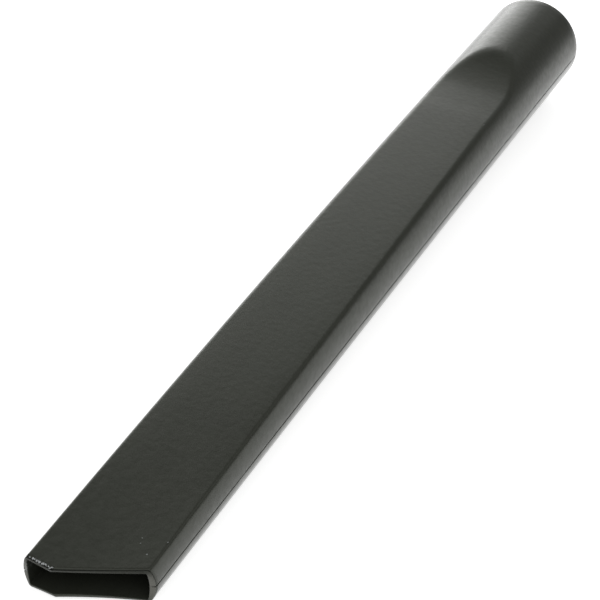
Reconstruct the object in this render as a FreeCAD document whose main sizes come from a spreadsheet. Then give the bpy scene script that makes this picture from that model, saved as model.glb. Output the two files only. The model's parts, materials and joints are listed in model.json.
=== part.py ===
import FreeCAD, Part
import math
import os

import Sketcher

# Crevice tool of a vacuum cleaner, moulded in one piece.
# A round tube tapers gently from the wand socket to the mouth. Two long flats, one above and one
# below, thin it into a blade; each ends towards the socket in a scoop that runs out on the tube.
# The mouth is cut aslant, with a short square stretch left at its leading side.
# The tool is drawn with its axis on Y, the leading tip at Y = 0 and the socket rim at the far end,
# then laid down on its lower mouth edge and the crest of its lower scoop.

SIZES = [
    ("overall_length", 305.0, "leading tip to socket rim"),
    ("socket_bore", 32.0, "diameter of the straight bore that the wand pushes into"),
    ("socket_wall", 2.2, "wall at the socket rim"),
    ("socket_depth", 38.0, "rim to the end of the straight bore"),
    ("lead_in", 0.6, "width and depth of the bevel that guides the wand in"),
    ("rim_radius", 0.6, "rounding of the rim's outer edge"),
    ("mouth_width", 28.8, "across the round sides at the tip"),
    ("mouth_height", 10.7, "across the two flats at the tip"),
    ("mouth_wall", 1.2, "wall of the round sides at the mouth"),
    ("flat_wall", 0.75, "wall of the two flats at the mouth"),
    ("mouth_angle", 28.5, "slant of the mouth off square, degrees"),
    ("tip_width", 8.4, "square stretch at the leading side of the mouth"),
    ("flat_angle", 1.5, "slope of each flat to the axis, degrees"),
    ("scoop_radius", 48.0, "radius of the scoop that ends each flat"),
    ("scoop_crest", 44.6, "socket rim to where the scoop runs out on the tube"),
    ("scoop_wall", 1.9, "wall under the scoop"),
    ("edge_radius", 1.0, "rounding of the edges round the flats and scoops"),
    ("passage_radius", 0.6, "rounding of the air passage's inner corners"),
    ("parting_width", 0.3, "width of the mould's parting line"),
    ("parting_depth", 0.15, "depth of the mould's parting line"),
]

# Expressions that several sketches share.
MOUTH_RADIUS = "sizes.mouth_width / 2"
RIM_RADIUS = "(sizes.socket_bore / 2 + sizes.socket_wall)"
CREST_PLACE = "(sizes.overall_length - sizes.scoop_crest)"
CREST_RADIUS = f"{MOUTH_RADIUS} + ({RIM_RADIUS} - {MOUTH_RADIUS}) * {CREST_PLACE} / sizes.overall_length"

# The two measures of the scoop's centre that the outside hands on to the passage.
SCOOP_CENTRE = (("centre_along", "DistanceX"), ("centre_up", "DistanceY"))

# How a sketch counts its origin, its axes and the points of a line or arc.
ROOT_POINT = (-1, 1)
ALONG_AXIS, ACROSS_AXIS = range(-2, 0)
START, END, CENTRE = range(1, 4)

# Cosine of the widest angle at which a direction still counts as lying along an axis.
NEARLY_ALONG = math.cos(math.radians(30))

doc = FreeCAD.newDocument("crevice_tool")
sheet = doc.addObject("Spreadsheet::Sheet", "sizes")
for row, (alias, number, meaning) in enumerate(SIZES, start=1):
    sheet.set(f"A{row}", meaning)
    sheet.set(f"B{row}", str(number))
    sheet.setAlias(f"B{row}", alias)
doc.recompute()


def value(expression):
    """What an expression on the sheet comes to, as a number."""
    return float(sheet.evalExpression(expression.replace("sizes.", "")))


def origin_plane(body, role):
    """One of a body's own base planes."""
    return next(plane for plane in body.Origin.OriginFeatures if plane.Role == role)


def new_sketch(body, name, role):
    """An empty sketch on one of the body's base planes."""
    sketch = body.newObject("Sketcher::SketchObject", name)
    sketch.AttachmentSupport = [(origin_plane(body, role), "")]
    sketch.MapMode = "FlatFace"
    return sketch


def drive(sketch, kind, *args):
    """Add a dimension whose last argument is the expression that sets it."""
    *where, expression = args
    start_value = math.radians(value(expression)) if kind == "Angle" else value(expression)
    index = sketch.addConstraint(Sketcher.Constraint(kind, *where, start_value))
    sketch.setExpression(f"Constraints[{index}]", expression)


def fix_point(sketch, geometry, end, across, along):
    """Dimension a point of the sketch from its origin by two expressions; "0" puts it on an axis."""
    for kind, expression, axis in (("DistanceX", across, ALONG_AXIS), ("DistanceY", along, ACROSS_AXIS)):
        if expression == "0":
            sketch.addConstraint(Sketcher.Constraint("PointOnObject", geometry, end, axis))
        else:
            drive(sketch, kind, *ROOT_POINT, geometry, end, expression)


def add_polygon(sketch, corners):
    """A closed outline through corners that are given as pairs of expressions."""
    points = [FreeCAD.Vector(value(across), value(along), 0) for across, along in corners]
    for start, end in zip(points, points[1:] + points[:1]):
        sketch.addGeometry(Part.LineSegment(start, end))
    count = len(points)
    for side in range(count):
        sketch.addConstraint(Sketcher.Constraint("Coincident", side, END, (side + 1) % count, START))
    for side, (across, along) in enumerate(corners):
        fix_point(sketch, side, START, across, along)


def revolve(body, sketch):
    """Turn a half section about the tool's axis."""
    feature = body.newObject("PartDesign::Revolution", sketch.Name + "_turned")
    feature.Profile = sketch
    feature.ReferenceAxis = (sketch, ["V_Axis"])
    doc.recompute()
    return feature


def cut_through(body, sketch, width=None):
    """Cut a sketch out of the body to both sides of its plane, right through or to a given width."""
    before = body.Shape.Volume
    feature = body.newObject("PartDesign::Pocket", sketch.Name + "_cut")
    feature.Profile = sketch
    feature.SideType = "Symmetric"
    if width is None:
        feature.Type = "ThroughAll"
    else:
        feature.setExpression("Length", width)
    doc.recompute()
    if not body.Shape.Volume < before:
        raise RuntimeError(f"{feature.Name} cuts nothing")
    return feature


def mirror(body, feature, role):
    """Repeat a cut on the other side of one of the body's base planes."""
    before = body.Shape.Volume
    copy = body.newObject("PartDesign::Mirrored", feature.Name + "_mirrored")
    copy.Originals = [feature]
    copy.MirrorPlane = (origin_plane(body, role), [""])
    body.Tip = copy
    doc.recompute()
    if not body.Shape.Volume < before:
        raise RuntimeError(f"{copy.Name} cuts nothing")
    return copy


def round_edges(body, base, name, edge_names, radius):
    """Round some edges of a feature to a radius from the sheet."""
    feature = body.newObject("PartDesign::Fillet", name)
    feature.Base = (base, edge_names)
    feature.setExpression("Radius", radius)
    body.Tip = feature
    doc.recompute()
    return feature


def surfaces_beside(shape, edge):
    """The surfaces that meet at an edge."""
    return [face.Surface for face in shape.ancestorsOfType(edge, Part.Face)]


def is_flat_or_scoop(surface):
    """True for the long flats, which face up or down, and for the scoops, whose axis runs across."""
    if isinstance(surface, Part.Plane):
        return abs(surface.Axis.z) > NEARLY_ALONG
    return isinstance(surface, Part.Cylinder) and abs(surface.Axis.x) > NEARLY_ALONG


def is_round_side(surface):
    """True for the tapering and straight round walls about the tool's axis."""
    return isinstance(surface, (Part.Cone, Part.Cylinder)) and abs(surface.Axis.y) > NEARLY_ALONG


def flat_edges(shape):
    """Names of the edges where the flats and scoops meet the round sides."""
    names = []
    for number, edge in enumerate(shape.Edges, start=1):
        beside = surfaces_beside(shape, edge)
        on_flat = [surface for surface in beside if is_flat_or_scoop(surface)]
        on_side = [surface for surface in beside if is_round_side(surface)]
        if on_flat and on_side:
            names.append(f"Edge{number}")
    return names


def rim_edge(shape):
    """Name of the socket rim's outer edge."""
    far_end = shape.BoundBox.YMax
    for number, edge in enumerate(shape.Edges, start=1):
        round_edge = isinstance(edge.Curve, Part.Circle)
        if round_edge and edge.BoundBox.YMin > far_end - value("sizes.socket_wall"):
            return [f"Edge{number}"]
    raise RuntimeError("the socket rim has no round edge")


def draw_flat(sketch, half_height, radius):
    """Side view of the space over one flat: a sloping line, the scoop's arc, and clear above the tube.

    Returns the indices of the sloping line and the arc.
    """
    slope = math.radians(value("sizes.flat_angle"))
    clear_height = f"{RIM_RADIUS} + sizes.socket_wall"
    mouth_height = value(half_height)
    turn = value(radius)
    foot_place = value(CREST_PLACE) - turn
    foot = FreeCAD.Vector(foot_place, mouth_height + foot_place * math.tan(slope), 0)
    centre = foot + FreeCAD.Vector(-math.sin(slope), math.cos(slope), 0) * turn
    circle = Part.Circle(centre, FreeCAD.Vector(0, 0, 1), turn)
    arc_curve = Part.ArcOfCircle(circle, slope - math.pi / 2, slope - math.pi / 4)

    corner_low = FreeCAD.Vector(-value("sizes.mouth_height"), mouth_height, 0)
    corner_high = FreeCAD.Vector(-value("sizes.mouth_height"), value(clear_height), 0)
    flat = sketch.addGeometry(Part.LineSegment(corner_low, foot))
    arc = sketch.addGeometry(arc_curve)
    arc_end = arc_curve.EndPoint
    lid = sketch.addGeometry(Part.LineSegment(arc_end, corner_high))
    face = sketch.addGeometry(Part.LineSegment(corner_high, corner_low))
    sketch.addConstraint(Sketcher.Constraint("Tangent", flat, END, arc, START))
    sketch.addConstraint(Sketcher.Constraint("Coincident", arc, END, lid, START))
    sketch.addConstraint(Sketcher.Constraint("Coincident", lid, END, face, START))
    sketch.addConstraint(Sketcher.Constraint("Coincident", face, END, flat, START))
    sketch.addConstraint(Sketcher.Constraint("Horizontal", lid))
    sketch.addConstraint(Sketcher.Constraint("Vertical", face))
    drive(sketch, "Radius", arc, radius)
    drive(sketch, "DistanceX", flat, START, *ROOT_POINT, "sizes.mouth_height")
    drive(sketch, "DistanceY", *ROOT_POINT, lid, START, clear_height)

    mouth_point = sketch.addGeometry(Part.Point(FreeCAD.Vector(0, mouth_height, 0)), True)
    fix_point(sketch, mouth_point, START, "0", half_height)
    sketch.addConstraint(Sketcher.Constraint("PointOnObject", mouth_point, START, flat))
    return flat, arc


def make_outer_form():
    """The outside of the tool, still solid: tube, flats with scoops, slanted mouth, parting line."""
    body = doc.addObject("PartDesign::Body", "outer_form")

    tube = new_sketch(body, "tube", "XY_Plane")
    add_polygon(tube, [
        ("0", "0"),
        (MOUTH_RADIUS, "0"),
        (RIM_RADIUS, "sizes.overall_length"),
        ("0", "sizes.overall_length"),
    ])
    revolve(body, tube)

    side_view = new_sketch(body, "flat_and_scoop", "YZ_Plane")
    flat, arc = draw_flat(side_view, "sizes.mouth_height / 2", "sizes.scoop_radius")
    drive(side_view, "Angle", flat, "sizes.flat_angle")
    crest_point = FreeCAD.Vector(value(CREST_PLACE), value(CREST_RADIUS), 0)
    crest = side_view.addGeometry(Part.Point(crest_point), True)
    fix_point(side_view, crest, START, CREST_PLACE, CREST_RADIUS)
    side_view.addConstraint(Sketcher.Constraint("PointOnObject", crest, START, arc))
    for name, kind in SCOOP_CENTRE:
        index = side_view.addConstraint(Sketcher.Constraint(kind, *ROOT_POINT, arc, CENTRE, 1.0))
        side_view.setDriving(index, False)
        side_view.renameConstraint(index, name)
    upper = cut_through(body, side_view)
    flats = mirror(body, upper, "XY_Plane")
    edges = round_edges(body, flats, "flat_edges", flat_edges(flats.Shape), "sizes.edge_radius")
    round_edges(body, edges, "rim_edge", rim_edge(edges.Shape), "sizes.rim_radius")

    mouth = new_sketch(body, "slanted_mouth", "XY_Plane")
    front = "-sizes.tip_width * tan(sizes.mouth_angle)"
    add_polygon(mouth, [
        (f"-{MOUTH_RADIUS}", front),
        ("sizes.mouth_width", front),
        ("sizes.mouth_width", f"{front} + (sizes.mouth_width + {MOUTH_RADIUS}) * tan(sizes.mouth_angle)"),
    ])
    cut_through(body, mouth)

    parting = new_sketch(body, "parting_line", "XY_Plane")
    add_polygon(parting, [
        (f"{MOUTH_RADIUS} - sizes.parting_depth", "0"),
        ("sizes.socket_bore", "0"),
        ("sizes.socket_bore", "sizes.overall_length"),
        (f"{RIM_RADIUS} - sizes.parting_depth", "sizes.overall_length"),
    ])
    right = cut_through(body, parting, "sizes.parting_width")
    mirror(body, right, "YZ_Plane")
    return body


def make_air_passage():
    """The space inside the tool: wand socket, tapering passage and its flats."""
    body = doc.addObject("PartDesign::Body", "air_passage")

    section = new_sketch(body, "bore", "XY_Plane")
    mouth_inside = f"{MOUTH_RADIUS} - sizes.mouth_wall"
    bore_end = "sizes.overall_length - sizes.socket_depth"
    bore_radius = "sizes.socket_bore / 2"
    taper = f"({bore_radius} - ({mouth_inside})) / ({bore_end})"
    add_polygon(section, [
        ("0", "-sizes.mouth_height"),
        (f"{mouth_inside} - {taper} * sizes.mouth_height", "-sizes.mouth_height"),
        (bore_radius, bore_end),
        (bore_radius, "sizes.overall_length - sizes.lead_in"),
        (f"{bore_radius} + 2 * sizes.lead_in", "sizes.overall_length + sizes.lead_in"),
        ("0", "sizes.overall_length + sizes.lead_in"),
    ])
    revolve(body, section)

    side_view = new_sketch(body, "passage_flat", "YZ_Plane")
    half_height = "sizes.mouth_height / 2 - sizes.flat_wall"
    _, arc = draw_flat(side_view, half_height, "sizes.scoop_radius + sizes.scoop_wall")
    for name, kind in SCOOP_CENTRE:
        place = doc.flat_and_scoop.getDatum(name).Value
        index = side_view.addConstraint(Sketcher.Constraint(kind, *ROOT_POINT, arc, CENTRE, place))
        side_view.setExpression(f"Constraints[{index}]", f"flat_and_scoop.Constraints.{name}")
    upper = cut_through(body, side_view)
    flats = mirror(body, upper, "XY_Plane")
    round_edges(body, flats, "passage_edges", flat_edges(flats.Shape), "sizes.passage_radius")
    return body


def lay_down(tool):
    """Rest the tool on its lower mouth edge and lower scoop crest, centred over the origin."""
    drop = value(CREST_RADIUS) - value("sizes.mouth_height / 2")
    tilt = math.degrees(math.atan2(drop, value(CREST_PLACE)))
    turn = FreeCAD.Rotation(FreeCAD.Vector(1, 0, 0), tilt)
    tool.Placement = FreeCAD.Placement(FreeCAD.Vector(), turn)
    box = tool.Shape.optimalBoundingBox(False)
    tool.Placement = FreeCAD.Placement(FreeCAD.Vector(-box.Center.x, -box.Center.y, -box.ZMin), turn)


tool = doc.addObject("Part::Cut", "crevice_tool")
tool.Base = make_outer_form()
tool.Tool = make_air_passage()
tool.Label = "crevice_tool"
doc.recompute()
lay_down(tool)

failed = [item.Name for item in doc.Objects if {"Invalid", "Error"} & set(item.State)]
if failed:
    raise RuntimeError("these objects did not build: " + ", ".join(failed))
if tool.Shape.isNull() or not tool.Shape.isValid() or len(tool.Shape.Solids) != 1:
    raise RuntimeError("the tool is not one sound solid")

os.makedirs("parts", exist_ok=True)
tool.Shape.exportStep(os.path.join("parts", tool.Label + ".step"))
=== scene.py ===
import json
import math

import bpy
from mathutils import Matrix, Vector


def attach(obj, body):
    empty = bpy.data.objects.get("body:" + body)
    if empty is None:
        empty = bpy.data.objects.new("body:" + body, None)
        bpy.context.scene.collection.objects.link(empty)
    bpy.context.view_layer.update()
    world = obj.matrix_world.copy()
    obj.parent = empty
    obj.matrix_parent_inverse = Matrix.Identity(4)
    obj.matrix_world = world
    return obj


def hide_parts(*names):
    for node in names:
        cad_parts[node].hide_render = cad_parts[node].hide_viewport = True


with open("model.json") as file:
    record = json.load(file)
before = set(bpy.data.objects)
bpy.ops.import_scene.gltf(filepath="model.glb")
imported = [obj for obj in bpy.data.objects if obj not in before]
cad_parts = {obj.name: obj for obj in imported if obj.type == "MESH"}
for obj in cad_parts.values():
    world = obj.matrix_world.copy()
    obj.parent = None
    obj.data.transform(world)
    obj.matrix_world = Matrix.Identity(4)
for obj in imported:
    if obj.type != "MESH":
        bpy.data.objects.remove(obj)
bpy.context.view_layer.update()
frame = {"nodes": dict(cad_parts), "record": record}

MM = 0.001
TOOL_NODE = "crevice_tool"

# Sizes of the tool in millimetres. They are those of its solid, apart from the scoop, the mouth,
# the parting line and the sunken flats, which follow this one moulding in the photograph, and a
# hundredth off the length and the rim, which keeps the wall inside the solid's box. Y runs along
# the tool from the leading tip to the socket rim, X to the right of that, and Z up from its axis.
OVERALL_LENGTH = 304.99
SOCKET_BORE = 32.0
SOCKET_WALL = 2.19
SOCKET_DEPTH = 38.0
LEAD_IN = 0.59
RIM_ROUNDING = 0.6
MOUTH_WIDTH = 28.6
MOUTH_HEIGHT = 10.66
MOUTH_WALL = 1.2
FLAT_WALL = 0.75
MOUTH_ANGLE = math.radians(28.5)
TIP_WIDTH = 8.4
FLAT_ANGLE = math.radians(1.5)
SCOOP_RADIUS = 80.0
SCOOP_CREST = 45.0
SCOOP_LENGTH = 23.0
SCOOP_WALL = 1.9
PARTING_WIDTH = 0.42
PARTING_DEPTH = 0.28
PARTING_WANDER = 0.12
PARTING_WANDER_LENGTH = 16.0
PARTING_WEAR_LENGTH = 9.0
SINK_ABOVE = 0.45
SINK_BELOW = 1.15
SINK_REACH = 75.0
CORE_SHIFT = 0.15
LIP_LINE_START = 0.13
LIP_LINE_END = 0.45
LIP_LINE_MARGIN = 0.02

# Depth of the fine line behind the lip, as a share of the wall.
LIP_LINE_DEPTH = 0.3
# The parting groove's flat floor and its outer edge, as shares of its width.
GROOVE_FLOOR, GROOVE_EDGE = 0.2, 0.6
# What is left of the groove's depth where it has worn away most.
GROOVE_WORN = 0.25
# How much less pale the leading trimmed lip is, and how dark the painted shade on its upper land
# is.
LEADING_DULLNESS = 0.45
UPPER_LAND_PAINTED_SHADE = 0.55

# What the sizes above give.
MOUTH_RADIUS = MOUTH_WIDTH / 2
RIM_RADIUS = SOCKET_BORE / 2 + SOCKET_WALL
CREST_PLACE = OVERALL_LENGTH - SCOOP_CREST
CREST_RADIUS = MOUTH_RADIUS + (RIM_RADIUS - MOUTH_RADIUS) * CREST_PLACE / OVERALL_LENGTH
MOUTH_CORNER = TIP_WIDTH - MOUTH_RADIUS
BORE_END = OVERALL_LENGTH - SOCKET_DEPTH
SCOOP_FOOT = CREST_PLACE - SCOOP_LENGTH
FLAT_FOOT_HEIGHT = MOUTH_HEIGHT / 2 + math.tan(FLAT_ANGLE) * SCOOP_FOOT


def scoop_centre():
    """Place along and height of the centre of the arc from the flat's end up to the crest."""
    along, up = SCOOP_LENGTH / 2, (CREST_RADIUS - FLAT_FOOT_HEIGHT) / 2
    half = math.hypot(along, up)
    away = math.sqrt(SCOOP_RADIUS ** 2 - half ** 2) / half
    return SCOOP_FOOT + along - up * away, FLAT_FOOT_HEIGHT + up + along * away


SCOOP_ALONG, SCOOP_UP = scoop_centre()
FOOT_FROM_CENTRE = SCOOP_FOOT - SCOOP_ALONG
PASSAGE_SCOOP_RADIUS = SCOOP_RADIUS + SCOOP_WALL
PASSAGE_FOOT_HEIGHT = SCOOP_UP - math.sqrt(PASSAGE_SCOOP_RADIUS ** 2 - FOOT_FROM_CENTRE ** 2)
PASSAGE_SLOPE = (PASSAGE_FOOT_HEIGHT - (MOUTH_HEIGHT / 2 - FLAT_WALL)) / SCOOP_FOOT

# Where the tool lies: its axis is that of the wand socket, and the socket's mount marks the
# middle of the straight bore.
socket = frame["record"]["mounts"][0]
AXIS = Vector(socket["axis"])
TILT = math.atan2(AXIS.z, AXIS.y)
SOCKET_MIDDLE = OVERALL_LENGTH - LEAD_IN - socket["dims"]["length_mm"] / 2
TIP_PLACE = Vector(socket["pos_m"]) - AXIS * SOCKET_MIDDLE * MM


def linear(code):
    """Linear colour of an sRGB hex value."""
    parts = [int(code[i:i + 2], 16) / 255 for i in (1, 3, 5)]
    colour = [c / 12.92 if c <= 0.04045 else ((c + 0.055) / 1.055) ** 2.4 for c in parts]
    return (*colour, 1.0)


def per_metre(size_mm):
    """Scale of a pattern whose features are that many millimetres across."""
    return 1.0 / (size_mm * MM)


# Inputs that share a name go by number. Map Range: 0 is the value, 1 and 2 the range it comes
# from, 3 and 4 the range it goes to. Mix: 0 is the factor, 2 and 3 the numbers or 6 and 7 the
# colours. Math: 0, 1 and 2 in the order of the sum.
def add(tree, kind, links=None, **settings):
    """Add a node with its settings; links gives its inputs nodes, sockets or plain values."""
    made = tree.nodes.new(kind)
    for name, value in settings.items():
        setattr(made, name, value)
    for key, value in (links or {}).items():
        if isinstance(value, bpy.types.Node):
            value = value.outputs[0]
        if isinstance(value, bpy.types.NodeSocket):
            tree.links.new(value, made.inputs[key])
        else:
            made.inputs[key].default_value = value
    return made


def new_material(name):
    """A material and its empty node tree."""
    material = bpy.data.materials.new(name)
    material.use_nodes = True
    material.node_tree.nodes.clear()
    return material, material.node_tree


PLASTIC_IOR = 1.49

# Sizes of the plastic's patterns in millimetres. The real grain is about 0.1 mm across; it is
# drawn coarser so that the render shows it.
GRAIN_SIZE = 1.8
GRAIN_DEPTH = 0.055
CLOUD_SIZE = 9.0
SCRAPE_SPOT_SIZE = 0.8
TORN_MOTTLE_SIZE = 0.6

# The grain's lowest and highest roughness, the share of it that is left where the surface is seen
# edge on, and the roughness of the creases, where shade is painted.
GRAIN_SMOOTHEST, GRAIN_ROUGHEST = 0.31, 0.41
EDGE_ON_SHARE = 0.4
CREASE_ROUGHNESS = 0.9
SCRAPE_SPOT_STRENGTH = 0.4


# Black polypropylene, moulded in a spark-eroded tool: nearly black and slightly warm, with an even
# satin grain that spreads each highlight into a broad soft band.
def make_black_plastic():
    material, tree = new_material("moulded_black_polypropylene")
    place = add(tree, "ShaderNodeTexCoord").outputs["Object"]
    grain = add(
        tree, "ShaderNodeTexNoise",
        {"Vector": place, "Scale": per_metre(GRAIN_SIZE), "Detail": 2.0, "Roughness": 0.5})
    clouds = add(
        tree, "ShaderNodeTexNoise",
        {"Vector": place, "Scale": per_metre(CLOUD_SIZE), "Detail": 4.0})
    spots = add(
        tree, "ShaderNodeTexNoise",
        {"Vector": place, "Scale": per_metre(SCRAPE_SPOT_SIZE), "Detail": 2.0})
    trimmed, scraped, painted_crease_shade = (
        add(tree, "ShaderNodeAttribute", attribute_name=name).outputs["Fac"]
        for name in ("trimmed", "scraped", "painted_crease_shade"))
    spots = add(
        tree, "ShaderNodeMapRange", {0: spots, 1: 0.5, 2: 0.6, 3: 0.0, 4: SCRAPE_SPOT_STRENGTH})
    spots = add(tree, "ShaderNodeMath", {0: spots, 1: scraped}, operation="MULTIPLY")
    colour = add(
        tree, "ShaderNodeMix", {0: clouds, 6: linear("#2c2e28"), 7: linear("#32342d")},
        data_type="RGBA")
    # The trimmed lip is paler, and the scraped edge is broken into pale spots. Painted shade
    # darkens the fine creases: the parting groove and the line behind the lip, where real shade
    # would fall.
    for mask, shade in ((trimmed, "#5c5b54"), (spots, "#b4b6b6"), (painted_crease_shade, "#121210")):
        colour = add(
            tree, "ShaderNodeMix", {0: mask, 6: colour.outputs[2], 7: linear(shade)},
            data_type="RGBA")
    rough = add(
        tree, "ShaderNodeMapRange",
        {0: grain, 1: 0.3, 2: 0.7, 3: GRAIN_SMOOTHEST, 4: GRAIN_ROUGHEST})
    # Seen edge on, the tops of the grain line up and the gloss is sharper. The creases are dull.
    facing = add(tree, "ShaderNodeLayerWeight", {"Blend": 0.5}).outputs["Facing"]
    share = add(
        tree, "ShaderNodeMapRange", {0: facing, 1: 0.65, 2: 0.95, 3: 1.0, 4: EDGE_ON_SHARE})
    rough = add(tree, "ShaderNodeMath", {0: rough, 1: share}, operation="MULTIPLY")
    rough = add(
        tree, "ShaderNodeMix", {0: painted_crease_shade, 2: rough, 3: CREASE_ROUGHNESS}, data_type="FLOAT")
    bump = add(
        tree, "ShaderNodeBump",
        {"Height": grain, "Strength": 1.0, "Distance": GRAIN_DEPTH * MM})
    shader = add(
        tree, "ShaderNodeBsdfPrincipled",
        {"Base Color": colour.outputs[2], "Roughness": rough, "Normal": bump, "IOR": PLASTIC_IOR,
         "Specular IOR Level": 0.45, "Specular Tint": linear("#fafff2")})
    add(tree, "ShaderNodeOutputMaterial", {"Surface": shader})
    return material


# Polypropylene torn into crumbs: drawn out and gone white, dull like chalk.
def make_torn_plastic():
    material, tree = new_material("torn_white_polypropylene")
    place = add(tree, "ShaderNodeTexCoord").outputs["Object"]
    mottle = add(
        tree, "ShaderNodeTexNoise",
        {"Vector": place, "Scale": per_metre(TORN_MOTTLE_SIZE), "Detail": 2.0})
    colour = add(
        tree, "ShaderNodeMix", {0: mottle, 6: linear("#8d908f"), 7: linear("#dcdfe0")},
        data_type="RGBA")
    shader = add(
        tree, "ShaderNodeBsdfPrincipled",
        {"Base Color": colour.outputs[2], "Roughness": 0.75, "IOR": PLASTIC_IOR})
    add(tree, "ShaderNodeOutputMaterial", {"Surface": shader})
    return material


# Steps along the wall's run, each as (steps to here, place along the tool, share of the way
# through the wall). It goes from the mouth's lip along the outside to the rim and back inside,
# close where the scoop bends and at the rounded lips. Just behind the lip the mould's end insert
# left a fine line.
WALL_RUN = (
    (3, 0.0, 0.16),
    (1, 0.03, 0.05),
    (1, 0.08, 0.0),
    (1, LIP_LINE_START, LIP_LINE_DEPTH),
    (1, LIP_LINE_END, LIP_LINE_DEPTH),
    (1, 0.54, 0.0),
    (1, 1.3, 0.0),
    (24, 60.0, 0.0),
    (40, SCOOP_FOOT - 10.0, 0.0),
    (84, BORE_END + 2.0, 0.0),
    (14, OVERALL_LENGTH - RIM_ROUNDING, 0.0),
    (1, OVERALL_LENGTH - 0.6 * RIM_ROUNDING, 0.03),
    (1, OVERALL_LENGTH - 0.2 * RIM_ROUNDING, 0.12),
    (1, OVERALL_LENGTH, RIM_ROUNDING / SOCKET_WALL),
    (2, OVERALL_LENGTH, 1.0 - LEAD_IN / SOCKET_WALL),
    (2, OVERALL_LENGTH - LEAD_IN, 1.0),
    (8, BORE_END, 1.0),
    (44, SCOOP_FOOT - 6.0, 1.0),
    (40, 60.0, 1.0),
    (24, 0.7, 1.0),
    (1, 0.14, 1.0),
    (1, 0.04, 0.96),
    (1, 0.0, 0.86),
)

# Points round the wall, and how strongly they crowd towards the two parting lines.
COLUMNS = 256
CROWDING = 0.38


def wall_run_points():
    """The closed run: X is the place along the tool in metres, Y the share of the wall."""
    points = []
    _, last_along, last_share = WALL_RUN[-1]
    for steps, along, share in WALL_RUN:
        for step in range(1, steps + 1):
            part = step / steps
            points.append((
                (last_along + (along - last_along) * part) * MM,
                last_share + (share - last_share) * part,
                0.0,
            ))
        last_along, last_share = along, share
    return points


WALL_SIZES = {
    "Overall length": OVERALL_LENGTH * MM,
    "Mouth radius": MOUTH_RADIUS * MM,
    "Rim radius": RIM_RADIUS * MM,
    "Passage radius at the mouth": (MOUTH_RADIUS - MOUTH_WALL) * MM,
    "Bore radius": SOCKET_BORE / 2 * MM,
    "Bore end": BORE_END * MM,
    "Flat slope": math.tan(FLAT_ANGLE),
    "Passage slope": PASSAGE_SLOPE,
    "Scoop radius": SCOOP_RADIUS * MM,
    "Passage scoop radius": PASSAGE_SCOOP_RADIUS * MM,
    "Scoop centre up": SCOOP_UP * MM,
    "Scoop foot": SCOOP_FOOT * MM,
    "Scoop foot from centre": FOOT_FROM_CENTRE * MM,
    "Scoop lead": 15.0 * MM,
    "Scoop crease": 0.6 * MM,
    "Flat foot height": FLAT_FOOT_HEIGHT * MM,
    "Passage foot height": PASSAGE_FOOT_HEIGHT * MM,
    "Mouth corner": MOUTH_CORNER * MM,
    "Mouth slant": math.tan(MOUTH_ANGLE),
    "Slant fades by": 60.0 * MM,
    "Flat crown": 0.4 * MM,
    "Edge softness": 1.5 * MM,
    "Passage edge softness": 0.7 * MM,
    "Passage square": 0.65 * MM,
    "Parting width": PARTING_WIDTH * MM,
    "Parting depth": PARTING_DEPTH * MM,
    "Parting wander": PARTING_WANDER * MM,
    "Sink above": SINK_ABOVE * MM,
    "Sink below": SINK_BELOW * MM,
    "Sink reach": SINK_REACH * MM,
    "Core shift": CORE_SHIFT * MM,
    "Straight from": (OVERALL_LENGTH - 6.0) * MM,
    "Belly": 0.26 * MM,
    "Bow to the left": 0.76 * MM,
    "Mouth to the right": 0.2 * MM,
    "Trimmed as far as": 0.03 * MM,
    "Trimmed fades by": 0.1 * MM,
    "Scraped as far as": 0.2 * MM,
    "Scraped fades by": 1.0 * MM,
    "Lip line middle": (LIP_LINE_START + LIP_LINE_END) / 2 * MM,
    "Lip line half width": ((LIP_LINE_END - LIP_LINE_START) / 2 + LIP_LINE_MARGIN) * MM,
    "Tilt": TILT,
}


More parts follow.
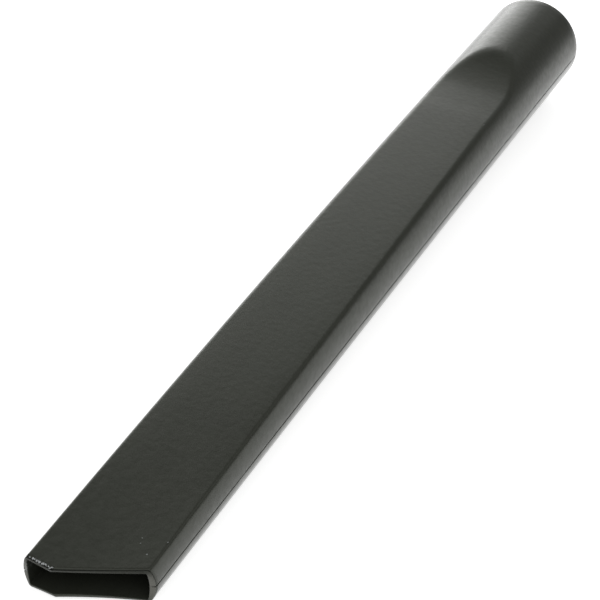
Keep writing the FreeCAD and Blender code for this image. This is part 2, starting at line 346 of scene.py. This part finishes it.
def tool_wall_tree(material):
    """A round tapering tube, pressed to two flats with scooped ends, cut aslant at the mouth."""
    tree = bpy.data.node_groups.new("tool_wall", "GeometryNodeTree")
    tree.interface.new_socket("Geometry", in_out="INPUT", socket_type="NodeSocketGeometry")
    for name in WALL_SIZES:
        tree.interface.new_socket(name, in_out="INPUT", socket_type="NodeSocketFloat")
    tree.interface.new_socket("Tip place", in_out="INPUT", socket_type="NodeSocketVector")
    tree.interface.new_socket("Geometry", in_out="OUTPUT", socket_type="NodeSocketGeometry")
    given = add(tree, "NodeGroupInput").outputs

    # The run and the ring are crossed to a closed sheet whose points know where they belong.
    run = add(tree, "GeometryNodeMeshToCurve", {0: given["Geometry"]})
    run = add(
        tree, "GeometryNodeStoreNamedAttribute",
        {"Geometry": run, "Name": "run", "Value": add(tree, "GeometryNodeInputPosition")},
        data_type="FLOAT_VECTOR", domain="POINT")
    ring = add(tree, "GeometryNodeCurvePrimitiveCircle", {"Resolution": COLUMNS}, mode="RADIUS")
    ring = add(
        tree, "GeometryNodeStoreNamedAttribute",
        {"Geometry": ring, "Name": "turn", "Value": add(tree, "GeometryNodeSplineParameter")},
        data_type="FLOAT", domain="POINT")
    sheet = add(tree, "GeometryNodeCurveToMesh", {"Curve": run, "Profile Curve": ring})

    place = add(
        tree, "GeometryNodeInputNamedAttribute", {"Name": "run"}, data_type="FLOAT_VECTOR")
    place = add(tree, "ShaderNodeSeparateXYZ", {0: place})
    along, inside = place.outputs["X"], place.outputs["Y"]
    part = add(tree, "GeometryNodeInputNamedAttribute", {"Name": "turn"}, data_type="FLOAT")

    # The ring's points crowd towards the two parting lines.
    angle = add(tree, "ShaderNodeMath", {0: part, 1: math.tau}, operation="MULTIPLY")
    twice = add(tree, "ShaderNodeMath", {0: angle, 1: 2.0}, operation="MULTIPLY")
    crowd = add(tree, "ShaderNodeMath", {0: twice}, operation="SINE")
    angle = add(
        tree, "ShaderNodeMath", {0: crowd, 1: -CROWDING, 2: angle}, operation="MULTIPLY_ADD")
    across = add(tree, "ShaderNodeMath", {0: angle}, operation="COSINE")
    above = add(tree, "ShaderNodeMath", {0: angle}, operation="SINE")

    def radius_at(y):
        outside = add(
            tree, "ShaderNodeMapRange",
            {0: y, 1: 0.0, 2: given["Overall length"],
             3: given["Mouth radius"], 4: given["Rim radius"]},
            clamp=False)
        passage = add(
            tree, "ShaderNodeMapRange",
            {0: y, 1: 0.0, 2: given["Bore end"],
             3: given["Passage radius at the mouth"], 4: given["Bore radius"]})
        return add(tree, "ShaderNodeMix", {0: inside, 2: outside, 3: passage}, data_type="FLOAT")

    # The slanted mouth pushes the rows near it back on the right.
    x = add(tree, "ShaderNodeMath", {0: radius_at(along), 1: across}, operation="MULTIPLY")
    past = add(tree, "ShaderNodeMath", {0: x, 1: given["Mouth corner"]}, operation="SUBTRACT")
    past = add(tree, "ShaderNodeMath", {0: past, 1: 0.0}, operation="MAXIMUM")
    past = add(tree, "ShaderNodeMath", {0: past, 1: given["Mouth slant"]}, operation="MULTIPLY")
    near = add(
        tree, "ShaderNodeMapRange",
        {0: along, 1: 0.0, 2: given["Slant fades by"], 3: 1.0, 4: 0.0})
    y = add(tree, "ShaderNodeMath", {0: past, 1: near, 2: along}, operation="MULTIPLY_ADD")

    # The moulding bellies out and bows a little between its ends.
    ends = add(
        tree, "ShaderNodeMapRange", {0: y, 1: 0.0, 2: given["Straight from"], 3: -1.0, 4: 1.0})
    ends = add(tree, "ShaderNodeMath", {0: ends, 1: ends}, operation="MULTIPLY")
    between = add(tree, "ShaderNodeMath", {0: 1.0, 1: ends}, operation="SUBTRACT")

    # The round wall, with the parting line's groove along both sides of the outside. The line
    # wanders a little and is shallower here and there.
    radius = radius_at(y)
    z = add(tree, "ShaderNodeMath", {0: radius, 1: above}, operation="MULTIPLY")
    drift = add(
        tree, "ShaderNodeTexNoise",
        {"W": y, "Scale": per_metre(PARTING_WANDER_LENGTH), "Detail": 2.0}, noise_dimensions="1D")
    lowest = add(
        tree, "ShaderNodeMath", {0: 0.0, 1: given["Parting wander"]}, operation="SUBTRACT")
    wander = add(tree, "ShaderNodeMapRange", {0: drift, 3: given["Parting wander"], 4: lowest})
    off = add(tree, "ShaderNodeMath", {0: z, 1: wander}, operation="SUBTRACT")
    off = add(tree, "ShaderNodeMath", {0: off}, operation="ABSOLUTE")
    off = add(tree, "ShaderNodeMath", {0: off, 1: given["Parting width"]}, operation="DIVIDE")
    wear = add(
        tree, "ShaderNodeTexNoise",
        {"W": y, "Scale": per_metre(PARTING_WEAR_LENGTH), "Detail": 1.0}, noise_dimensions="1D")
    wear = add(tree, "ShaderNodeMapRange", {0: wear, 1: 0.32, 2: 0.5, 3: GROOVE_WORN, 4: 1.0})
    deep = add(tree, "ShaderNodeMath", {0: wear, 1: given["Parting depth"]}, operation="MULTIPLY")
    groove = add(
        tree, "ShaderNodeMapRange", {0: off, 1: GROOVE_FLOOR, 2: GROOVE_EDGE, 3: deep, 4: 0.0},
        interpolation_type="SMOOTHSTEP")
    groove = add(tree, "ShaderNodeMix", {0: inside, 2: groove, 3: 0.0}, data_type="FLOAT")
    radius = add(tree, "ShaderNodeMath", {0: radius, 1: groove}, operation="SUBTRACT")
    z = add(tree, "ShaderNodeMath", {0: radius, 1: above}, operation="MULTIPLY")
    radius = add(
        tree, "ShaderNodeMath", {0: between, 1: given["Belly"], 2: radius},
        operation="MULTIPLY_ADD")
    x = add(tree, "ShaderNodeMath", {0: radius, 1: across}, operation="MULTIPLY")

    # Height of the flat and of the scoop's arc, which rises out of it in a soft crease.
    slope = add(
        tree, "ShaderNodeMix",
        {0: inside, 2: given["Flat slope"], 3: given["Passage slope"]}, data_type="FLOAT")
    bend = add(
        tree, "ShaderNodeMix",
        {0: inside, 2: given["Scoop radius"], 3: given["Passage scoop radius"]},
        data_type="FLOAT")
    foot = add(
        tree, "ShaderNodeMix",
        {0: inside, 2: given["Flat foot height"], 3: given["Passage foot height"]},
        data_type="FLOAT")
    beyond = add(tree, "ShaderNodeMath", {0: y, 1: given["Scoop foot"]}, operation="SUBTRACT")
    flat = add(tree, "ShaderNodeMath", {0: beyond, 1: slope, 2: foot}, operation="MULTIPLY_ADD")
    first = add(tree, "ShaderNodeMath", {0: 0.0, 1: given["Scoop lead"]}, operation="SUBTRACT")
    lead = add(tree, "ShaderNodeMath", {0: beyond, 1: first}, operation="MAXIMUM")
    short = add(tree, "ShaderNodeMath", {0: beyond, 1: lead}, operation="SUBTRACT")
    lead = add(
        tree, "ShaderNodeMath", {0: lead, 1: given["Scoop foot from centre"]}, operation="ADD")
    lead = add(tree, "ShaderNodeMath", {0: lead, 1: bend}, operation="DIVIDE")
    lead = add(tree, "ShaderNodeMath", {0: lead}, operation="ARCSINE")
    lead = add(tree, "ShaderNodeMath", {0: lead}, operation="COSINE")
    drop = add(tree, "ShaderNodeMath", {0: lead, 1: bend}, operation="MULTIPLY")
    arc = add(tree, "ShaderNodeMath", {0: given["Scoop centre up"], 1: drop}, operation="SUBTRACT")
    arc = add(tree, "ShaderNodeMath", {0: short, 1: slope, 2: arc}, operation="MULTIPLY_ADD")
    height = add(
        tree, "ShaderNodeMath", {0: flat, 1: arc, 2: given["Scoop crease"]},
        operation="SMOOTH_MAX")

    # The upper flat is crowned a little as far as its scoop, and near the mouth the middle of
    # both flats has sunk in.
    middle = add(tree, "ShaderNodeMath", {0: above, 1: above}, operation="MULTIPLY")
    upper = add(tree, "ShaderNodeMath", {0: above, 1: 0.0}, operation="GREATER_THAN")
    sink = add(
        tree, "ShaderNodeMix", {0: upper, 2: given["Sink below"], 3: given["Sink above"]},
        data_type="FLOAT")
    reach = add(
        tree, "ShaderNodeMapRange", {0: along, 1: 0.0, 2: given["Sink reach"], 3: 1.0, 4: 0.0},
        interpolation_type="SMOOTHSTEP")
    sink = add(tree, "ShaderNodeMath", {0: sink, 1: reach}, operation="MULTIPLY")
    crown = add(
        tree, "ShaderNodeMapRange",
        {0: y, 1: given["Scoop foot"], 2: given["Bore end"], 3: given["Flat crown"], 4: 0.0})
    crown = add(tree, "ShaderNodeMix", {0: reach, 2: crown, 3: 0.0}, data_type="FLOAT")
    crown = add(tree, "ShaderNodeMath", {0: crown, 1: upper}, operation="MULTIPLY")
    margin = add(tree, "ShaderNodeMath", {0: 2.0, 1: middle}, operation="SUBTRACT")
    swell = add(tree, "ShaderNodeMath", {0: crown, 1: margin}, operation="MULTIPLY")
    swell = add(tree, "ShaderNodeMath", {0: swell, 1: sink}, operation="SUBTRACT")
    height = add(
        tree, "ShaderNodeMath", {0: swell, 1: middle, 2: height}, operation="MULTIPLY_ADD")

    # Each half of the ring is held under that height, with a soft edge.
    soft = add(
        tree, "ShaderNodeMix",
        {0: inside, 2: given["Edge softness"], 3: given["Passage edge softness"]},
        data_type="FLOAT")
    side = add(tree, "ShaderNodeMath", {0: z}, operation="SIGN")
    z = add(tree, "ShaderNodeMath", {0: z}, operation="ABSOLUTE")
    z = add(tree, "ShaderNodeMath", {0: z, 1: height, 2: soft}, operation="SMOOTH_MIN")
    z = add(tree, "ShaderNodeMath", {0: z, 1: side}, operation="MULTIPLY")

    # At the mouth the passage has squarer corners than the outside.
    square = add(tree, "ShaderNodeMath", {0: z, 1: height}, operation="DIVIDE")
    square = add(tree, "ShaderNodeMath", {0: square, 1: square}, operation="MULTIPLY")
    for share in (inside, near, across):
        square = add(tree, "ShaderNodeMath", {0: square, 1: share}, operation="MULTIPLY")
    x = add(
        tree, "ShaderNodeMath", {0: square, 1: given["Passage square"], 2: x},
        operation="MULTIPLY_ADD")

    # The core sat a little to the left, and the moulding came out of its tool bowed to that side.
    shift = add(tree, "ShaderNodeMath", {0: inside, 1: given["Core shift"]}, operation="MULTIPLY")
    x = add(tree, "ShaderNodeMath", {0: x, 1: shift}, operation="SUBTRACT")
    bow = add(
        tree, "ShaderNodeMath", {0: between, 1: given["Bow to the left"]}, operation="MULTIPLY")
    x = add(tree, "ShaderNodeMath", {0: x, 1: bow}, operation="SUBTRACT")
    lean = add(
        tree, "ShaderNodeMapRange",
        {0: y, 1: 0.0, 2: given["Overall length"], 3: given["Mouth to the right"], 4: 0.0})
    x = add(tree, "ShaderNodeMath", {0: x, 1: lean}, operation="ADD")

    # Where the lip's leading upper edge is scraped.
    leading = add(tree, "ShaderNodeMath", {0: x, 1: given["Mouth corner"]}, operation="LESS_THAN")
    scraped = add(
        tree, "ShaderNodeMapRange",
        {0: along, 1: given["Scraped as far as"], 2: given["Scraped fades by"], 3: 1.0, 4: 0.0})
    scraped = add(tree, "ShaderNodeMath", {0: scraped, 1: leading}, operation="MULTIPLY")
    scraped = add(tree, "ShaderNodeMath", {0: scraped, 1: upper}, operation="MULTIPLY")

    # The trimmed lip shows pale on its sides, less so on the leading one, and its upper land is
    # darkened with painted shade.
    lip = add(
        tree, "ShaderNodeMapRange",
        {0: along, 1: given["Trimmed as far as"], 2: given["Trimmed fades by"], 3: 1.0, 4: 0.0})
    land = add(tree, "ShaderNodeMapRange", {0: middle, 1: 0.02, 2: 0.14, 3: 0.0, 4: 1.0})
    land = add(tree, "ShaderNodeMath", {0: lip, 1: land}, operation="MULTIPLY")
    trimmed = add(tree, "ShaderNodeMath", {0: lip, 1: land}, operation="SUBTRACT")
    dull = add(tree, "ShaderNodeMath", {0: trimmed, 1: leading}, operation="MULTIPLY")
    trimmed = add(
        tree, "ShaderNodeMath", {0: dull, 1: -LEADING_DULLNESS, 2: trimmed},
        operation="MULTIPLY_ADD")
    # Painted shade on the upper land only; the lower land keeps the plain colour.
    shade = add(tree, "ShaderNodeMath", {0: land, 1: UPPER_LAND_PAINTED_SHADE}, operation="MULTIPLY")
    shade = add(tree, "ShaderNodeMath", {0: shade, 1: upper}, operation="MULTIPLY")

    # The painted crease shade covers the parting groove, the line behind the lip and the upper
    # land's painted shade.
    painted_crease_shade = add(
        tree, "ShaderNodeMath", {0: groove, 1: given["Parting depth"]}, operation="DIVIDE")
    behind = add(
        tree, "ShaderNodeMath",
        {0: along, 1: given["Lip line middle"], 2: given["Lip line half width"]},
        operation="COMPARE")
    outside = add(tree, "ShaderNodeMath", {0: inside, 1: 0.5}, operation="LESS_THAN")
    behind = add(tree, "ShaderNodeMath", {0: behind, 1: outside}, operation="MULTIPLY")
    for other in (behind, shade):
        painted_crease_shade = add(tree, "ShaderNodeMath", {0: painted_crease_shade, 1: other}, operation="MAXIMUM")
    for name, mask in (("trimmed", trimmed), ("scraped", scraped), ("painted_crease_shade", painted_crease_shade)):
        sheet = add(
            tree, "GeometryNodeStoreNamedAttribute",
            {"Geometry": sheet, "Name": name, "Value": mask}, data_type="FLOAT", domain="POINT")

    shaped = add(
        tree, "GeometryNodeSetPosition",
        {"Geometry": sheet, "Position": add(tree, "ShaderNodeCombineXYZ", {0: x, 1: y, 2: z})})
    turn = add(tree, "ShaderNodeCombineXYZ", {0: given["Tilt"]})
    shaped = add(
        tree, "GeometryNodeTransform",
        {"Geometry": shaped, "Translation": given["Tip place"], "Rotation": turn})
    shaped = add(tree, "GeometryNodeFlipFaces", {0: shaped})
    shaped = add(tree, "GeometryNodeSetShadeSmooth", {"Geometry": shaped})
    shaped = add(tree, "GeometryNodeRealizeInstances", {"Geometry": shaped})
    shaped = add(tree, "GeometryNodeSetMaterial", {"Geometry": shaped, "Material": material})
    add(tree, "NodeGroupOutput", {"Geometry": shaped})
    return tree


def grown(piece, tree, sizes):
    """Run a tree on a piece with these sizes and keep the result as the piece's plain mesh."""
    modifier = piece.modifiers.new(tree.name, "NODES")
    modifier.node_group = tree
    for item in tree.interface.items_tree:
        if item.in_out == "INPUT" and item.name in sizes:
            modifier[item.identifier] = sizes[item.name]
    result = piece.evaluated_get(bpy.context.evaluated_depsgraph_get())
    made = bpy.data.meshes.new_from_object(result)
    piece.modifiers.clear()
    made.name = piece.name
    piece.data = made


def new_piece(name, points, edges=(), faces=()):
    """An object at the origin with these points, edges and faces."""
    mesh = bpy.data.meshes.new(name)
    mesh.from_pydata(points, edges, faces)
    piece = bpy.data.objects.new(name, mesh)
    bpy.context.scene.collection.objects.link(piece)
    return piece


black_plastic = make_black_plastic()
for old in frame["nodes"][TOOL_NODE].material_slots:
    old.material = black_plastic

run = wall_run_points()
tool = new_piece("crevice_tool_wall", run, [(i, (i + 1) % len(run)) for i in range(len(run))])
grown(tool, tool_wall_tree(black_plastic), {**WALL_SIZES, "Tip place": TIP_PLACE})
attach(tool, "root")
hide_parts(TOOL_NODE)


# Crumbs of torn plastic: a burr along the leading upper edge of the mouth, and a few loose specks.
# Places are millimetres to the right and along the tool.
BURR_COUNT = 20
BURR_START = (-11.4, 0.12)
BURR_END = (-5.6, 0.2)
SPECKS = ((7.1, 15.5), (6.6, 16.9), (12.6, 18.7), (9.9, 13.6), (12.7, 218.1))

# Most that a crumb is turned about each axis, either way, in radians.
CRUMB_TURN = Vector((0.5, 0.5, 0.9))


def on_wall(x, y):
    """The point of the wall straight above a place on the tool's own axes, in millimetres."""
    turn = Matrix.Translation(TIP_PLACE) @ Matrix.Rotation(TILT, 4, "X")
    return tool.closest_point_on_mesh(turn @ (Vector((x, y, RIM_RADIUS)) * MM))[1]


def crumbs_tree(material):
    """A small drawn-out crumb at each given point, each turned, sized and shifted at random."""
    tree = bpy.data.node_groups.new("crumbs", "GeometryNodeTree")
    tree.interface.new_socket("Geometry", in_out="INPUT", socket_type="NodeSocketGeometry")
    for name in ("Smallest", "Largest", "Scatter"):
        tree.interface.new_socket(name, in_out="INPUT", socket_type="NodeSocketVector")
    tree.interface.new_socket("Geometry", in_out="OUTPUT", socket_type="NodeSocketGeometry")
    given = add(tree, "NodeGroupInput").outputs
    back = add(
        tree, "ShaderNodeVectorMath", {0: given["Scatter"], 1: (-1.0, -1.0, -1.0)},
        operation="MULTIPLY")
    jitter = add(
        tree, "FunctionNodeRandomValue", {"Min": back, "Max": given["Scatter"], "Seed": 3},
        data_type="FLOAT_VECTOR")
    points = add(
        tree, "GeometryNodeSetPosition", {"Geometry": given["Geometry"], "Offset": jitter})
    crumb = add(tree, "GeometryNodeMeshIcoSphere", {"Radius": 0.5, "Subdivisions": 1})
    turn = add(
        tree, "FunctionNodeRandomValue", {"Min": -CRUMB_TURN, "Max": CRUMB_TURN, "Seed": 5},
        data_type="FLOAT_VECTOR")
    size = add(
        tree, "FunctionNodeRandomValue",
        {"Min": given["Smallest"], "Max": given["Largest"], "Seed": 8}, data_type="FLOAT_VECTOR")
    made = add(
        tree, "GeometryNodeInstanceOnPoints",
        {"Points": points, "Instance": crumb, "Rotation": turn, "Scale": size})
    made = add(tree, "GeometryNodeRealizeInstances", {"Geometry": made})
    made = add(tree, "GeometryNodeSetMaterial", {"Geometry": made, "Material": material})
    add(tree, "NodeGroupOutput", {"Geometry": made})
    return tree


def burr_places():
    """Even places along the leading upper edge, seated on the wall."""
    for step in range(BURR_COUNT):
        part = step / (BURR_COUNT - 1)
        yield on_wall(*(a + (b - a) * part for a, b in zip(BURR_START, BURR_END)))


torn_plastic = make_torn_plastic()
burr = new_piece("torn_burr", [tuple(place) for place in burr_places()])
grown(burr, crumbs_tree(torn_plastic), {
    "Smallest": Vector((0.15, 0.15, 0.1)) * MM,
    "Largest": Vector((1.0, 0.7, 0.3)) * MM,
    "Scatter": Vector((0.3, 0.22, 0.05)) * MM,
})
specks = new_piece("white_specks", [tuple(on_wall(*spot)) for spot in SPECKS])
grown(specks, crumbs_tree(torn_plastic), {
    "Smallest": Vector((0.15, 0.15, 0.08)) * MM,
    "Largest": Vector((0.4, 0.45, 0.14)) * MM,
    "Scatter": Vector((0.0, 0.0, 0.0)),
})
for piece in (burr, specks):
    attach(piece, "root")


# The floor's half width and the ring in which its glow rises, in metres from the tool's middle,
# and how strongly it glows.
FLOOR_HALF = 6.0
GLOW_RISES_FROM, GLOW_RISES_TO = 0.3, 1.5
GLOW_NEAR, GLOW_FAR = 0.7, 1.0
GLOW_MIRRORED = 0.93


# White floor: lit and shadowed like a pale board, with a base glow towards the lens and in
# reflections that brings the open floor up to white, more of it out where the lamps fade.
def make_floor():
    material, tree = new_material("white_board")
    path = add(tree, "ShaderNodeLightPath").outputs
    mirrored = add(
        tree, "ShaderNodeMath", {0: path["Is Glossy Ray"], 1: path["Is Transmission Ray"]},
        operation="MAXIMUM")
    glow = add(tree, "ShaderNodeMath", {0: mirrored, 1: GLOW_MIRRORED}, operation="MULTIPLY")
    place = add(tree, "ShaderNodeTexCoord").outputs["Object"]
    away = add(tree, "ShaderNodeVectorMath", {0: place}, operation="LENGTH").outputs["Value"]
    open_floor = add(
        tree, "ShaderNodeMapRange",
        {0: away, 1: GLOW_RISES_FROM, 2: GLOW_RISES_TO, 3: GLOW_NEAR, 4: GLOW_FAR})
    glow = add(
        tree, "ShaderNodeMath", {0: path["Is Camera Ray"], 1: open_floor, 2: glow},
        operation="MULTIPLY_ADD")
    shader = add(
        tree, "ShaderNodeBsdfPrincipled",
        {"Base Color": linear("#e8e8e8"), "Roughness": 0.9, "Specular IOR Level": 0.0,
         "Emission Color": linear("#ffffff"), "Emission Strength": glow})
    add(tree, "ShaderNodeOutputMaterial", {"Surface": shader})
    corners = [
        (FLOOR_HALF * right, FLOOR_HALF * back, 0.0)
        for right, back in ((-1, -1), (1, -1), (1, 1), (-1, 1))]
    floor = new_piece("floor", corners, faces=[(0, 1, 2, 3)])
    floor.data.materials.append(material)


make_floor()

LAMP_TARGET = Vector((0.0, 0.0, 0.02))


def softbox(name, towards, distance, size, radiance):
    """An area lamp of a given brightness, which stands in a direction from the tool and faces it.

    The direction is degrees to the right of +Y and degrees up."""
    lamp = bpy.data.lights.new(name, "AREA")
    lamp.shape = "RECTANGLE"
    lamp.size, lamp.size_y = size
    lamp.energy = radiance * math.pi * lamp.size * lamp.size_y
    holder = bpy.data.objects.new(name, lamp)
    bpy.context.scene.collection.objects.link(holder)
    azimuth, elevation = (math.radians(value) for value in towards)
    outwards = Vector((
        math.sin(azimuth) * math.cos(elevation),
        math.cos(azimuth) * math.cos(elevation),
        math.sin(elevation),
    ))
    holder.location = LAMP_TARGET + outwards * distance
    holder.rotation_euler = outwards.to_track_quat("Z", "Y").to_euler()


softbox(
    "low_back_left_strip", towards=(-45.0, 12.0), distance=1.2, size=(1.68, 0.5), radiance=3.2)
softbox(
    "high_back_left_softbox", towards=(-46.0, 38.5), distance=1.3, size=(1.4, 0.66), radiance=0.95)
softbox(
    "low_back_softbox", towards=(2.0, 24.0), distance=1.2, size=(0.5, 0.35), radiance=0.42)
softbox(
    "front_overhead_softbox", towards=(165.0, 52.0), distance=1.3, size=(1.4, 1.1), radiance=0.9)
softbox(
    "right_overhead_softbox", towards=(85.0, 52.0), distance=1.3, size=(1.4, 1.1), radiance=0.61)

# The surround: a low even light on the tool, and white to the lens and through clear things. It
# isn't white to mirrored rays, because the plastic in the photograph mirrors only the floor and
# the lamps, and a white surround makes the flats and the socket much too bright.
SURROUND_LIGHT = 0.22
world = bpy.data.worlds.new("studio")
bpy.context.scene.world = world
world.use_nodes = True
tree = world.node_tree
tree.nodes.clear()
path = add(tree, "ShaderNodeLightPath").outputs
seen = add(
    tree, "ShaderNodeMath", {0: path["Is Camera Ray"], 1: path["Is Transmission Ray"]},
    operation="MAXIMUM")
level = add(tree, "ShaderNodeMix", {0: seen, 2: SURROUND_LIGHT, 3: 1.0}, data_type="FLOAT")
sky = add(tree, "ShaderNodeBackground", {"Color": linear("#ffffff"), "Strength": level})
add(tree, "ShaderNodeOutputWorld", {"Surface": sky})

# The photograph's camera: found from the tool's edges, rim and mouth in the picture.
CAMERA_PLACE = Vector((113.61, -289.47, 225.86)) * MM
CAMERA_FORWARD = Vector((-0.33556, 0.71854, -0.60918))
CAMERA_UP = Vector((-0.33049, 0.51578, 0.79041))
FOCAL_LENGTH = 72.5
SENSOR_WIDTH = 36.0

lens = bpy.data.cameras.new("camera")
lens.lens = FOCAL_LENGTH
lens.sensor_width = SENSOR_WIDTH
lens.clip_start, lens.clip_end = 0.01, 50.0
camera = bpy.data.objects.new("camera", lens)
bpy.context.scene.collection.objects.link(camera)
right = CAMERA_FORWARD.cross(CAMERA_UP)
turned = Matrix((right, CAMERA_UP, -CAMERA_FORWARD)).transposed().to_4x4()
camera.matrix_world = Matrix.Translation(CAMERA_PLACE) @ turned
bpy.context.scene.camera = camera
bpy.context.scene.view_settings.view_transform = "Standard"
